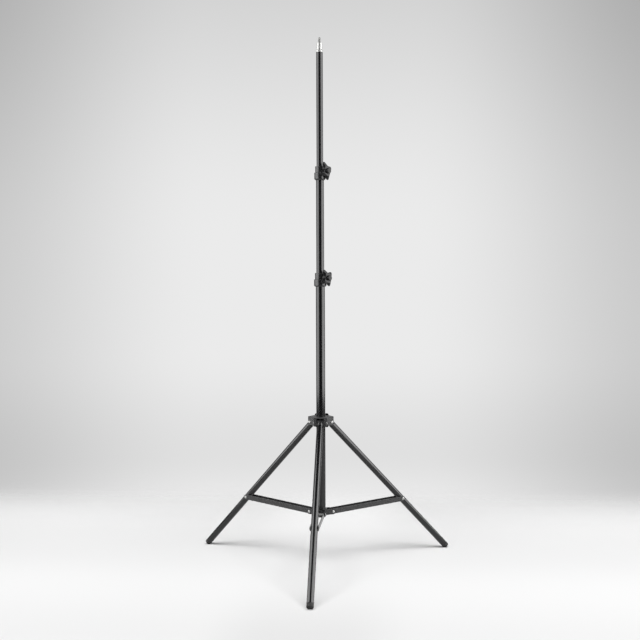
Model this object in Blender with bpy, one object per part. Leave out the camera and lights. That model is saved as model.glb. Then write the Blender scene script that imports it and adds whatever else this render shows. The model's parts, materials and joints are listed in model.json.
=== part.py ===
"""Folding light stand with a three-section mast, a sliding leg collar, three legs and three braces.

The mast stands on the Z axis, the floor is z = 0 and leg 1 points along -Y.
Lengths are in metres and angles are in degrees.
"""
import math

import bmesh
import bpy
from mathutils import Matrix, Vector

# Gaps: between fixed neighbours, round what slides or turns, and on each side of a leg tube
SEAT_GAP = 0.0003
RUN_GAP = 0.0004
STRAP_GAP = 0.00035

# Mast tubes, each one sliding inside the one below
BASE_TUBE_RADIUS = 0.011
MAST_TUBE_WALL = 0.001
MAST_TUBE_PLAY = 0.0005
BASE_TUBE_LENGTH = 0.5725
MIDDLE_TUBE_LENGTH = 0.560
TOP_TUBE_LENGTH = 0.540
MIDDLE_TUBE_DRAWN = 0.256
TOP_TUBE_DRAWN = 0.289

# Plastic ends inside the mast tubes
PLUG_FLANGE_HEIGHT = 0.0022
PLUG_DEPTH = 0.010
GUIDE_FLANGE_HEIGHT = 0.003
GUIDE_DEPTH = 0.012
GUIDE_WALL = 0.0022

# Clamp collars at the tops of the base and middle tubes
SOCKET_WALL = 0.0038
SOCKET_DEPTH = 0.015
SOCKET_RISE = 0.0025
SOCKET_FOOT_TAPER = 0.0025
HEAD_WALL = 0.0029
HEAD_HEIGHT = 0.018
COLLAR_CHAMFER = 0.0006
BOSS_RADIUS = 0.006
BOSS_LENGTH = 0.003
SCREW_RISE = 0.006
CLAMP_AZIMUTH = -34.0

# Clamp pad, screw and four-lobed knob, alike on all three clamps; the lobes shrink outwards
PAD_THICKNESS = 0.0012
PAD_HEIGHT = 0.008
PAD_HALF_ANGLE = 20.0
SCREW_RADIUS = 0.003
SCREW_CHAMFER = 0.0006
SCREW_IN_KNOB = 0.009
KNOB_STANDOFF = 0.0008
KNOB_NECK_RADIUS = 0.0072
KNOB_NECK_LENGTH = 0.0015
KNOB_CORE_RADIUS = 0.013
KNOB_REACH = 0.0226
KNOB_OUTER_CORE_RADIUS = 0.0115
KNOB_OUTER_REACH = 0.0138
KNOB_LOBES = 4
KNOB_LOBE_SHARPNESS = 1.4
KNOB_LOBE_THICKNESS = 0.007
KNOB_LOBE_ROUND = 0.0015
KNOB_CAP_RADIUS = 0.0065
KNOB_CAP_LENGTH = 0.006
LOWER_KNOB_TURN = 32.0
UPPER_KNOB_TURN = 22.0
LEG_KNOB_TURN = 45.0

# Spigot at the top of the mast, with its threaded stud
SPIGOT_FLANGE_RADIUS = 0.0083
SPIGOT_FLANGE_HEIGHT = 0.0045
SPIGOT_NECK_RADIUS = 0.0060
SPIGOT_NECK_HEIGHT = 0.0015
SPIGOT_BODY_RADIUS = 0.0068
SPIGOT_BODY_HEIGHT = 0.018
SPIGOT_DEPTH = 0.020
SPIGOT_CHAMFER = 0.0006
STUD_RADIUS = 0.0031
STUD_HEIGHT = 0.0126

# Legs: tube, knuckle at the collar end and cap at the floor end
LEG_AZIMUTHS = (-90.0, 30.0, 150.0)
LEG_ANGLE = 44.3
LEG_LENGTH = 0.481
LEG_TUBE_RADIUS = 0.008
LEG_TUBE_WALL = 0.001
KNUCKLE_RADIUS = 0.0075
KNUCKLE_SHOULDER = 0.010
KNUCKLE_DEPTH = 0.018
FOOT_CAP_LENGTH = 0.009
FOOT_CAP_DEPTH = 0.014
FOOT_CAP_ROUND = 0.0015
FOOT_FLAT_DEPTH = 0.0008

# Leg collar that slides on the base tube and carries the leg pivots
LEG_PIVOT_RADIUS = 0.0225
LEG_COLLAR_WALL = 0.0025
LUG_REACH_PAST_PIVOT = 0.0045
LUG_CHEEK_THICKNESS = 0.006
LEG_SLOT_GAP = 0.0015
LEG_COLLAR_TOP = 0.0135
LEG_COLLAR_BOTTOM = 0.0076
LEG_SLOT_ROOF = 0.0027

# Braces: pairs of straps from the spider to each leg
BRACE_HOLE_DISTANCE = 0.290
BRACE_SLOPE = 3.6
STRAP_WIDTH = 0.012
STRAP_THICKNESS = 0.0015

# Spider at the foot of the base tube, with two cheeks for each brace
SPIDER_PIVOT_RADIUS = 0.027
SPIDER_WALL = 0.0027
SPIDER_HALF_HEIGHT = 0.008
SPIDER_CHEEK_THICKNESS = 0.002
SPIDER_CHEEK_RADIUS = 0.0065
SPIDER_ABOVE_TUBE_END = 0.0095

# Rivets, all of one size across
RIVET_RADIUS = 0.002
RIVET_HEAD_RADIUS = 0.0034
RIVET_HEAD_HEIGHT = 0.0013
RIVET_HEAD_RIM = 0.0006
RIVET_CROWN_RADIUS = 0.002

# Facets round each kind of piece, steps along an arc or a rounded corner, and the turn
# between two faces above which their edge stays crisp
TUBE_FACETS = 32
COLLAR_FACETS = 36
RIVET_FACETS = 12
KNOB_FACETS = 48
ARC_STEPS = 8
ROUND_STEPS = 4
CRISP_TURN = 30.0

# Size of the marks that show the joint axes
AXIS_MARK_SIZE = 0.02

# Radii of the sliding tubes, worked out from the base tube
MIDDLE_TUBE_RADIUS = BASE_TUBE_RADIUS - MAST_TUBE_WALL - MAST_TUBE_PLAY
TOP_TUBE_RADIUS = MIDDLE_TUBE_RADIUS - MAST_TUBE_WALL - MAST_TUBE_PLAY

# The leg triangle, worked out from the floor upwards
OPEN = math.radians(LEG_ANGLE)
FOOT_ROUND_DROP = (LEG_TUBE_RADIUS - FOOT_CAP_ROUND) * math.sin(OPEN) + FOOT_CAP_ROUND * (1 - math.cos(OPEN))
FOOT_END_Z = FOOT_ROUND_DROP - FOOT_FLAT_DEPTH
LEG_PIVOT_Z = LEG_LENGTH * math.cos(OPEN) + FOOT_END_Z
BRACE_OUTER_RADIUS = LEG_PIVOT_RADIUS + BRACE_HOLE_DISTANCE * math.sin(OPEN)
BRACE_OUTER_Z = LEG_PIVOT_Z - BRACE_HOLE_DISTANCE * math.cos(OPEN)
BRACE_RUN = BRACE_OUTER_RADIUS - SPIDER_PIVOT_RADIUS
SLOPE = math.radians(BRACE_SLOPE)
BRACE_LENGTH = BRACE_RUN / math.cos(SLOPE)
SPIDER_PIVOT_Z = BRACE_OUTER_Z - BRACE_RUN * math.tan(SLOPE)

# The origin is the middle of the box round the feet, so the mast stands a little behind it
FOOT_ARM = LEG_PIVOT_RADIUS + (LEG_LENGTH - FOOT_CAP_ROUND) * math.sin(OPEN)
FOOT_CORE = LEG_TUBE_RADIUS - FOOT_CAP_ROUND
FRONT_REACH = FOOT_ARM + FOOT_CORE * math.cos(OPEN) + FOOT_CAP_ROUND
REAR_SHARE = math.sin(math.radians(LEG_AZIMUTHS[1]))
REAR_CORE = FOOT_CORE * math.sqrt(1 - (REAR_SHARE * math.sin(OPEN)) ** 2)
REAR_REACH = REAR_SHARE * FOOT_ARM + REAR_CORE + FOOT_CAP_ROUND
MAST_Y = (FRONT_REACH - REAR_REACH) / 2

# Heights of the mast joints
BASE_TUBE_BOTTOM = SPIDER_PIVOT_Z - SPIDER_ABOVE_TUBE_END
BASE_TUBE_TOP = BASE_TUBE_BOTTOM + BASE_TUBE_LENGTH
MIDDLE_TUBE_TOP = BASE_TUBE_TOP + MIDDLE_TUBE_DRAWN
TOP_TUBE_TOP = MIDDLE_TUBE_TOP + TOP_TUBE_DRAWN

# Widths from the middle of a leg to the faces beside it
STRAP_INNER = LEG_TUBE_RADIUS + STRAP_GAP
STRAP_OUTER = STRAP_INNER + STRAP_THICKNESS
SPIDER_CHEEK_INNER = STRAP_OUTER + STRAP_GAP
SPIDER_CHEEK_OUTER = SPIDER_CHEEK_INNER + SPIDER_CHEEK_THICKNESS
SPIDER_CHEEK_ROOT = SPIDER_CHEEK_OUTER / 2
LEG_SLOT_HALF_WIDTH = LEG_TUBE_RADIUS + LEG_SLOT_GAP
LUG_HALF_WIDTH = LEG_SLOT_HALF_WIDTH + LUG_CHEEK_THICKNESS
RIVET_HOLE_RADIUS = RIVET_RADIUS + SEAT_GAP


def clear_scene():
    for old in list(bpy.data.objects):
        bpy.data.objects.remove(old, do_unlink=True)


def make_material(name, colour, roughness, metallic):
    material = bpy.data.materials.new(name)
    material.use_nodes = True
    shader = material.node_tree.nodes["Principled BSDF"]
    shader.inputs["Base Color"].default_value = (*colour, 1.0)
    shader.inputs["Roughness"].default_value = roughness
    shader.inputs["Metallic"].default_value = metallic
    return material


def add_object(name, mesh_builder, material):
    """Turns a filled bmesh into a smooth-shaded object with outward faces."""
    bmesh.ops.recalc_face_normals(mesh_builder, faces=mesh_builder.faces)
    mesh = bpy.data.meshes.new(name)
    mesh_builder.to_mesh(mesh)
    mesh_builder.free()
    mesh.shade_smooth()
    mesh.set_sharp_from_angle(angle=math.radians(CRISP_TURN))
    obj = bpy.data.objects.new(name, mesh)
    if material:
        mesh.materials.append(material)
    bpy.context.scene.collection.objects.link(obj)
    return obj


def arc(centre, radius, start, end, steps=ARC_STEPS):
    """Points along an arc, with its two ends, from the start angle to the end angle."""
    points = []
    for step in range(steps + 1):
        angle = math.radians(start + (end - start) * step / steps)
        points.append((centre[0] + radius * math.cos(angle), centre[1] + radius * math.sin(angle)))
    return points


def turned(name, profile, material, facets=TUBE_FACETS, lobes=None):
    """Turns a closed outline of (radius, height) points round Z.

    A point on the axis closes the end. With lobes, a list with one reach for each point,
    the radius swells once in each lobe from the point's own radius to that reach.
    """
    builder = bmesh.new()
    rings = []
    for index, (radius, height) in enumerate(profile):
        if radius == 0:
            rings.append([builder.verts.new((0, 0, height))])
            continue
        ring = []
        for facet in range(facets):
            angle = math.tau * facet / facets
            reach = radius
            if lobes:
                swell = (0.5 + 0.5 * math.cos(KNOB_LOBES * angle)) ** KNOB_LOBE_SHARPNESS
                reach += (lobes[index] - radius) * swell
            ring.append(builder.verts.new((reach * math.cos(angle), reach * math.sin(angle), height)))
        rings.append(ring)
    for ring, after in zip(rings, rings[1:] + rings[:1]):
        if len(ring) == 1 and len(after) == 1:
            continue
        for facet in range(facets):
            following = (facet + 1) % facets
            corners = [ring[facet % len(ring)], ring[following % len(ring)]]
            corners += [after[following % len(after)], after[facet % len(after)]]
            builder.faces.new(list(dict.fromkeys(corners)))
    return add_object(name, builder, material)


def plate(name, outline, holes, start, end, material):
    """Extrudes an XZ outline with round holes (x, z, radius) along Y from start to end."""
    builder = bmesh.new()
    loops = [outline]
    for x, z, radius in holes:
        loops.append(arc((x, z), radius, 0, 360, RIVET_FACETS)[:-1])
    edges = []
    for loop in loops:
        corners = [builder.verts.new((x, start, z)) for x, z in loop]
        for corner, following in zip(corners, corners[1:] + corners[:1]):
            edges.append(builder.edges.new((corner, following)))
    filled = bmesh.ops.triangle_fill(builder, edges=edges, use_beauty=True)
    faces = [part for part in filled["geom"] if isinstance(part, bmesh.types.BMFace)]
    extruded = bmesh.ops.extrude_face_region(builder, geom=faces, use_keep_orig=True)
    moved = [part for part in extruded["geom"] if isinstance(part, bmesh.types.BMVert)]
    bmesh.ops.translate(builder, vec=(0, end - start, 0), verts=moved)
    return add_object(name, builder, material)


def box(name, low, high):
    builder = bmesh.new()
    bmesh.ops.create_cube(builder, size=1.0)
    for vertex in builder.verts:
        vertex.co = [a if side < 0 else b for side, a, b in zip(vertex.co, low, high)]
    return add_object(name, builder, None)


def rod(name, radius, start, end, facets=COLLAR_FACETS):
    """A plain cylinder along Z, used for bosses and for drilling holes."""
    return turned(name, [(0, start), (radius, start), (radius, end), (0, end)], None, facets)


def sector(inner, outer, half_angle):
    """Outline of a curved pad round the origin, centred on +X."""
    return arc((0, 0), outer, -half_angle, half_angle) + arc((0, 0), inner, half_angle, -half_angle)


def combine(body, tools, operation):
    """Joins the tools to the body or cuts them out of it, and removes them."""
    for tool in tools:
        tool.hide_render = True
        tool.display_type = "WIRE"
        modifier = body.modifiers.new(tool.name, "BOOLEAN")
        modifier.operation = operation
        modifier.solver = "EXACT"
        modifier.object = tool
    depsgraph = bpy.context.evaluated_depsgraph_get()
    finished = bpy.data.meshes.new_from_object(body.evaluated_get(depsgraph))
    body.modifiers.clear()
    body.data = finished
    body.data.set_sharp_from_angle(angle=math.radians(CRISP_TURN))
    for tool in tools:
        bpy.data.objects.remove(tool, do_unlink=True)


def carrier(name, location, azimuth=0.0, tilt=0.0):
    """An empty on a joint axis: X points along the azimuth, and tilt turns it about Y.

    The location is measured from the foot of the mast's axis.
    """
    empty = bpy.data.objects.new(name, None)
    empty.empty_display_size = AXIS_MARK_SIZE
    turn = Matrix.Rotation(math.radians(azimuth), 4, "Z") @ Matrix.Rotation(math.radians(tilt), 4, "Y")
    empty.matrix_world = Matrix.Translation(Vector(location) + Vector((0, MAST_Y, 0))) @ turn
    bpy.context.scene.collection.objects.link(empty)
    return empty


def attach(obj, parent, location=(0, 0, 0), rotation=(0, 0, 0)):
    obj.parent = parent
    obj.location = location
    obj.rotation_euler = [math.radians(angle) for angle in rotation]
    return obj


def radial(azimuth, radius, height):
    angle = math.radians(azimuth)
    return Vector((radius * math.cos(angle), radius * math.sin(angle), height))


def make_tube(name, radius, wall, length, material, parent, location):
    profile = [(radius, 0), (radius, length), (radius - wall, length), (radius - wall, 0)]
    return attach(turned(name, profile, material), parent, location)


def make_guide(name, tube_radius, outer_tube_inner_radius, material, parent, location):
    """Ring pressed into the bottom of a sliding tube; its flange runs in the tube below."""
    plug = tube_radius - MAST_TUBE_WALL - SEAT_GAP
    flange = outer_tube_inner_radius - RUN_GAP
    bore = plug - GUIDE_WALL
    profile = [(bore, 0), (flange, 0), (flange, GUIDE_FLANGE_HEIGHT), (plug, GUIDE_FLANGE_HEIGHT)]
    profile += [(plug, GUIDE_FLANGE_HEIGHT + GUIDE_DEPTH), (bore, GUIDE_FLANGE_HEIGHT + GUIDE_DEPTH)]
    return attach(turned(name, profile, material), parent, location)


def pad_outer_radius(tube_radius):
    return tube_radius + SEAT_GAP + PAD_THICKNESS


def cut_clamp(body, tube_radius, azimuth, height, boss_end):
    """Adds the screw boss to a collar body, then its pad pocket and screw hole."""
    turn = (math.radians(90), 0, math.radians(azimuth + 90))
    boss = rod("boss", BOSS_RADIUS, tube_radius + PAD_THICKNESS, boss_end)
    boss.rotation_euler = turn
    boss.location = (0, 0, height)
    combine(body, [boss], "UNION")
    outer = pad_outer_radius(tube_radius) + SEAT_GAP
    spread = PAD_HALF_ANGLE + math.degrees(SEAT_GAP / tube_radius)
    pocket = plate("pocket", sector(tube_radius, outer, spread), [], 0, PAD_HEIGHT + 2 * SEAT_GAP, None)
    pocket.rotation_euler = (math.radians(90), 0, math.radians(azimuth))
    pocket.location = (0, 0, height - PAD_HEIGHT / 2 - SEAT_GAP)
    hole = rod("hole", SCREW_RADIUS + SEAT_GAP, tube_radius, boss_end + BOSS_LENGTH)
    hole.rotation_euler = turn
    hole.location = (0, 0, height)
    return [pocket, hole]


def make_pad(name, tube_radius, azimuth, height, material, parent):
    inner = tube_radius + SEAT_GAP
    outline = sector(inner, inner + PAD_THICKNESS, PAD_HALF_ANGLE)
    pad = plate(name, outline, [], 0, PAD_HEIGHT, material)
    return attach(pad, parent, (0, 0, height - PAD_HEIGHT / 2), (90, 0, azimuth))


def make_collar(name, socket_tube_radius, runner_radius, material, parent, location):
    """Collar crimped on a tube's top; the next tube slides through its narrower head."""
    socket_bore = socket_tube_radius + SEAT_GAP
    socket = socket_bore + SOCKET_WALL
    bore = runner_radius + RUN_GAP
    head = bore + HEAD_WALL
    profile = [(socket_bore, -SOCKET_DEPTH), (socket - SOCKET_FOOT_TAPER, -SOCKET_DEPTH)]
    profile += [(socket, -SOCKET_DEPTH + SOCKET_FOOT_TAPER), (socket, SOCKET_RISE - COLLAR_CHAMFER)]
    profile += [(socket - COLLAR_CHAMFER, SOCKET_RISE), (head, SOCKET_RISE + COLLAR_CHAMFER)]
    profile += [(head, HEAD_HEIGHT - COLLAR_CHAMFER), (head - COLLAR_CHAMFER, HEAD_HEIGHT)]
    profile += [(bore, HEAD_HEIGHT), (bore, SEAT_GAP), (socket_bore, SEAT_GAP)]
    collar = turned(name, profile, material, COLLAR_FACETS)
    tools = cut_clamp(collar, runner_radius, CLAMP_AZIMUTH, SCREW_RISE, head + BOSS_LENGTH)
    combine(collar, tools, "DIFFERENCE")
    return attach(collar, parent, location)


def make_knob(prefix, tube_radius, boss_end, knob_material, screw_material, pivot):
    """Four-lobed knob and its screw; Z runs along the screw, away from the mast."""
    start = boss_end + KNOB_STANDOFF
    lobe = KNOB_NECK_LENGTH
    lobe_end = lobe + KNOB_LOBE_THICKNESS
    rounded = KNOB_LOBE_ROUND
    bore = SCREW_RADIUS + SEAT_GAP
    depth = SCREW_IN_KNOB + SEAT_GAP
    stations = [
        (0, depth, 0), (bore, depth, bore), (bore, 0, bore), (KNOB_NECK_RADIUS, 0, KNOB_NECK_RADIUS),
        (KNOB_NECK_RADIUS, lobe, KNOB_NECK_RADIUS),
        (KNOB_CORE_RADIUS - rounded, lobe, KNOB_REACH - rounded),
        (KNOB_CORE_RADIUS, lobe + rounded, KNOB_REACH),
        (KNOB_OUTER_CORE_RADIUS, lobe_end, KNOB_OUTER_REACH),
        (KNOB_CAP_RADIUS, lobe_end, KNOB_CAP_RADIUS),
        (KNOB_CAP_RADIUS, lobe_end + KNOB_CAP_LENGTH - rounded, KNOB_CAP_RADIUS),
        (KNOB_CAP_RADIUS - rounded, lobe_end + KNOB_CAP_LENGTH, KNOB_CAP_RADIUS - rounded),
        (0, lobe_end + KNOB_CAP_LENGTH, 0),
    ]
    profile = [(radius, height) for radius, height, reach in stations]
    reaches = [reach for radius, height, reach in stations]
    knob = turned(prefix + "_knob", profile, knob_material, KNOB_FACETS, reaches)
    attach(knob, pivot, (0, 0, start))
    tip = pad_outer_radius(tube_radius) + SEAT_GAP
    end = start + SCREW_IN_KNOB
    chamfer = SCREW_CHAMFER
    profile = [(0, tip), (SCREW_RADIUS - chamfer, tip), (SCREW_RADIUS, tip + chamfer)]
    profile += [(SCREW_RADIUS, end - chamfer), (SCREW_RADIUS - chamfer, end), (0, end)]
    attach(turned(prefix + "_screw", profile, screw_material, RIVET_FACETS), pivot)


def clamp_pivot(name, azimuth, height, turn, parent):
    """An empty whose Z runs out along the clamp screw, turned about it."""
    pivot = bpy.data.objects.new(name, None)
    pivot.empty_display_size = AXIS_MARK_SIZE
    bpy.context.scene.collection.objects.link(pivot)
    out = radial(azimuth, 1.0, 0.0).to_track_quat("Z", "Y")
    pivot.parent = parent
    pivot.rotation_euler = (out.to_matrix() @ Matrix.Rotation(math.radians(turn), 3, "Z")).to_euler()
    pivot.location = (0, 0, height)
    return pivot


def rivet_head(outer_face):
    """Half outline of a domed head that sits on a face at this distance."""
    base = outer_face + SEAT_GAP
    rim = base + RIVET_HEAD_RIM
    crown = base + RIVET_HEAD_HEIGHT
    return base, [(RIVET_HEAD_RADIUS, base), (RIVET_HEAD_RADIUS, rim), (RIVET_CROWN_RADIUS, crown)]


def make_pin(name, outer_face, material, parent, location):
    """Rivet across a pivot, headed at both ends, along the parent's Y."""
    base, head = rivet_head(outer_face)
    tip = head[-1][1]
    mirrored = [(radius, -height) for radius, height in reversed(head)]
    profile = [(0, -tip)] + mirrored + [(RIVET_RADIUS, -base), (RIVET_RADIUS, base)] + head + [(0, tip)]
    return attach(turned(name, profile, material, RIVET_FACETS), parent, location, (-90, 0, 0))


def make_base(materials):
    """Base tube, bottom plug, spider, spider rivets, lower collar and its pad."""
    mast = carrier("base", (0, 0, BASE_TUBE_BOTTOM))
    make_tube("base_tube", BASE_TUBE_RADIUS, MAST_TUBE_WALL, BASE_TUBE_LENGTH,
              materials["tube"], mast, (0, 0, 0))
    plug = BASE_TUBE_RADIUS - MAST_TUBE_WALL - SEAT_GAP
    flange = BASE_TUBE_RADIUS
    profile = [(0, -SEAT_GAP - PLUG_FLANGE_HEIGHT), (flange, -SEAT_GAP - PLUG_FLANGE_HEIGHT)]
    profile += [(flange, -SEAT_GAP), (plug, -SEAT_GAP), (plug, PLUG_DEPTH), (0, PLUG_DEPTH)]
    attach(turned("base_plug", profile, materials["plastic"]), mast)
    make_spider(materials, mast)
    collar_seat = (0, 0, BASE_TUBE_LENGTH)
    make_collar("lower_collar", BASE_TUBE_RADIUS, MIDDLE_TUBE_RADIUS, materials["plastic"], mast, collar_seat)
    make_pad("lower_clamp_pad", MIDDLE_TUBE_RADIUS, CLAMP_AZIMUTH, BASE_TUBE_LENGTH + SCREW_RISE,
             materials["brass"], mast)
    pivot = clamp_pivot("lower_knob_pivot", CLAMP_AZIMUTH, BASE_TUBE_LENGTH + SCREW_RISE,
                        LOWER_KNOB_TURN, mast)
    make_knob("lower", MIDDLE_TUBE_RADIUS, MIDDLE_TUBE_RADIUS + RUN_GAP + HEAD_WALL + BOSS_LENGTH,
              materials["knob"], materials["steel"], pivot)


def make_spider(materials, mast):
    """Ring on the base tube's foot, with two cheeks for each brace and a rivet across them."""
    pivot_height = SPIDER_ABOVE_TUBE_END
    ring = rod("spider", BASE_TUBE_RADIUS + SEAT_GAP + SPIDER_WALL, pivot_height - SPIDER_HALF_HEIGHT,
               pivot_height + SPIDER_HALF_HEIGHT)
    ring.data.materials.append(materials["plastic"])
    cheeks = []
    outline = arc((SPIDER_PIVOT_RADIUS, pivot_height), SPIDER_CHEEK_RADIUS, -90, 90)
    outline += [(SPIDER_CHEEK_ROOT, pivot_height + SPIDER_CHEEK_RADIUS)]
    outline += [(SPIDER_CHEEK_ROOT, pivot_height - SPIDER_CHEEK_RADIUS)]
    hole = [(SPIDER_PIVOT_RADIUS, pivot_height, RIVET_HOLE_RADIUS)]
    for azimuth in LEG_AZIMUTHS:
        for side in (-1, 1):
            cheek = plate("cheek", outline, hole, side * SPIDER_CHEEK_INNER, side * SPIDER_CHEEK_OUTER, None)
            cheek.rotation_euler = (0, 0, math.radians(azimuth))
            cheeks.append(cheek)
    combine(ring, cheeks, "UNION")
    bore = rod("bore", BASE_TUBE_RADIUS + SEAT_GAP, pivot_height - 2 * SPIDER_HALF_HEIGHT,
               pivot_height + 2 * SPIDER_HALF_HEIGHT)
    combine(ring, [bore], "DIFFERENCE")
    attach(ring, mast)
    for number, azimuth in enumerate(LEG_AZIMUTHS, 1):
        rivet = make_pin(f"spider_rivet_{number}", SPIDER_CHEEK_OUTER, materials["steel"], mast,
                         radial(azimuth, SPIDER_PIVOT_RADIUS, pivot_height))
        rivet.rotation_euler = (math.radians(-90), 0, math.radians(azimuth))


def make_middle_section(materials):
    """Middle tube with its guide, the upper collar and its pad and knob."""
    section = carrier("middle_section", (0, 0, MIDDLE_TUBE_TOP))
    bottom = -MIDDLE_TUBE_LENGTH
    make_tube("middle_tube", MIDDLE_TUBE_RADIUS, MAST_TUBE_WALL, MIDDLE_TUBE_LENGTH,
              materials["tube"], section, (0, 0, bottom))
    make_guide("middle_guide", MIDDLE_TUBE_RADIUS, BASE_TUBE_RADIUS - MAST_TUBE_WALL,
               materials["plastic"], section, (0, 0, bottom - SEAT_GAP - GUIDE_FLANGE_HEIGHT))
    make_collar("upper_collar", MIDDLE_TUBE_RADIUS, TOP_TUBE_RADIUS, materials["plastic"], section, (0, 0, 0))
    make_pad("upper_clamp_pad", TOP_TUBE_RADIUS, CLAMP_AZIMUTH, SCREW_RISE, materials["brass"], section)
    pivot = clamp_pivot("upper_knob_pivot", CLAMP_AZIMUTH, SCREW_RISE, UPPER_KNOB_TURN, section)
    make_knob("upper", TOP_TUBE_RADIUS, TOP_TUBE_RADIUS + RUN_GAP + HEAD_WALL + BOSS_LENGTH,
              materials["knob"], materials["steel"], pivot)


def make_top_section(materials):
    """Top tube with its guide and the spigot that carries the light."""
    section = carrier("top_section", (0, 0, TOP_TUBE_TOP))
    bottom = -TOP_TUBE_LENGTH
    make_tube("top_tube", TOP_TUBE_RADIUS, MAST_TUBE_WALL, TOP_TUBE_LENGTH,
              materials["tube"], section, (0, 0, bottom))
    make_guide("top_guide", TOP_TUBE_RADIUS, MIDDLE_TUBE_RADIUS - MAST_TUBE_WALL,
               materials["plastic"], section, (0, 0, bottom - SEAT_GAP - GUIDE_FLANGE_HEIGHT))
    plug = TOP_TUBE_RADIUS - MAST_TUBE_WALL - SEAT_GAP
    chamfer = SPIGOT_CHAMFER
    flange_top = SEAT_GAP + SPIGOT_FLANGE_HEIGHT
    neck_top = flange_top + SPIGOT_NECK_HEIGHT
    body_top = flange_top + SPIGOT_BODY_HEIGHT
    stud_top = body_top + STUD_HEIGHT
    profile = [(0, -SPIGOT_DEPTH), (plug, -SPIGOT_DEPTH), (plug, SEAT_GAP)]
    profile += [(SPIGOT_FLANGE_RADIUS, SEAT_GAP), (SPIGOT_FLANGE_RADIUS, flange_top - chamfer)]
    profile += [(SPIGOT_FLANGE_RADIUS - chamfer, flange_top), (SPIGOT_NECK_RADIUS, flange_top)]
    profile += [(SPIGOT_NECK_RADIUS, neck_top), (SPIGOT_BODY_RADIUS, neck_top + chamfer)]
    profile += [(SPIGOT_BODY_RADIUS, body_top - chamfer), (SPIGOT_BODY_RADIUS - chamfer, body_top)]
    profile += [(STUD_RADIUS, body_top), (STUD_RADIUS, stud_top - chamfer)]
    profile += [(STUD_RADIUS - chamfer, stud_top), (0, stud_top)]
    attach(turned("spigot", profile, materials["steel"]), section)


def make_leg_collar(materials):
    """Sliding collar with three slotted lugs, leg rivets, pad and rear knob."""
    slider = carrier("leg_collar_slider", (0, 0, LEG_PIVOT_Z))
    bore_radius = BASE_TUBE_RADIUS + RUN_GAP
    ring_radius = bore_radius + LEG_COLLAR_WALL
    reach = LEG_PIVOT_RADIUS + LUG_REACH_PAST_PIVOT
    body = rod("leg_collar", ring_radius, -LEG_COLLAR_BOTTOM, LEG_COLLAR_TOP)
    body.data.materials.append(materials["plastic"])
    lugs = []
    cuts = []
    for azimuth in LEG_AZIMUTHS:
        lug = box("lug", (0, -LUG_HALF_WIDTH, -LEG_COLLAR_BOTTOM), (reach, LUG_HALF_WIDTH, LEG_COLLAR_TOP))
        slot = box("slot", (ring_radius, -LEG_SLOT_HALF_WIDTH, -2 * LEG_COLLAR_BOTTOM),
                   (2 * reach, LEG_SLOT_HALF_WIDTH, LEG_COLLAR_TOP - LEG_SLOT_ROOF))
        hole = rod("hole", RIVET_HOLE_RADIUS, -2 * LUG_HALF_WIDTH, 2 * LUG_HALF_WIDTH, RIVET_FACETS)
        for tool in (lug, slot):
            tool.rotation_euler = (0, 0, math.radians(azimuth))
        hole.rotation_euler = (math.radians(-90), 0, math.radians(azimuth))
        hole.location = radial(azimuth, LEG_PIVOT_RADIUS, 0)
        lugs.append(lug)
        cuts += [slot, hole]
    combine(body, lugs, "UNION")
    rear = (LEG_AZIMUTHS[1] + LEG_AZIMUTHS[2]) / 2
    turn = math.radians(rear - LEG_AZIMUTHS[1])
    boss_end = reach * math.cos(turn) + LUG_HALF_WIDTH * math.sin(turn)
    cuts += cut_clamp(body, BASE_TUBE_RADIUS, rear, 0.0, boss_end)
    cuts.append(rod("bore", bore_radius, -2 * LEG_COLLAR_BOTTOM, 2 * LEG_COLLAR_TOP))
    combine(body, cuts, "DIFFERENCE")
    attach(body, slider)
    make_pad("leg_collar_pad", BASE_TUBE_RADIUS, rear, 0.0, materials["brass"], slider)
    for number, azimuth in enumerate(LEG_AZIMUTHS, 1):
        rivet = make_pin(f"leg_rivet_{number}", LUG_HALF_WIDTH, materials["steel"], slider,
                         radial(azimuth, LEG_PIVOT_RADIUS, 0))
        rivet.rotation_euler = (math.radians(-90), 0, math.radians(azimuth))
    pivot = clamp_pivot("leg_knob_pivot", rear, 0.0, LEG_KNOB_TURN, slider)
    make_knob("leg_collar", BASE_TUBE_RADIUS, boss_end, materials["knob"], materials["steel"], pivot)


def make_leg(number, azimuth, materials):
    """One leg: knuckle, tube and foot cap. Z runs up the leg and Y along its pivot."""
    pivot = carrier(f"leg_{number}", radial(azimuth, LEG_PIVOT_RADIUS, LEG_PIVOT_Z), azimuth, -LEG_ANGLE)
    tube_end = LEG_LENGTH - FOOT_CAP_LENGTH - SEAT_GAP
    make_tube(f"leg_tube_{number}", LEG_TUBE_RADIUS, LEG_TUBE_WALL, tube_end - KNUCKLE_SHOULDER,
              materials["tube"], pivot, (0, 0, -tube_end))
    plug = LEG_TUBE_RADIUS - LEG_TUBE_WALL - SEAT_GAP
    half_width = LEG_SLOT_HALF_WIDTH - RUN_GAP
    shoulder = KNUCKLE_SHOULDER - SEAT_GAP
    profile = [(0, -shoulder - KNUCKLE_DEPTH), (plug, -shoulder - KNUCKLE_DEPTH), (plug, -shoulder)]
    profile += [(KNUCKLE_RADIUS, -shoulder), (KNUCKLE_RADIUS, 0), (0, 0)]
    knuckle = turned(f"leg_knuckle_{number}", profile, materials["plastic"], COLLAR_FACETS)
    eye = rod("eye", KNUCKLE_RADIUS, -half_width, half_width)
    hole = rod("hole", RIVET_RADIUS + RUN_GAP, -2 * half_width, 2 * half_width, RIVET_FACETS)
    for tool in (eye, hole):
        tool.rotation_euler = (math.radians(-90), 0, 0)
    combine(knuckle, [eye], "UNION")
    combine(knuckle, [hole], "DIFFERENCE")
    attach(knuckle, pivot)
    make_foot_cap(number, plug, materials, pivot)


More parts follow.
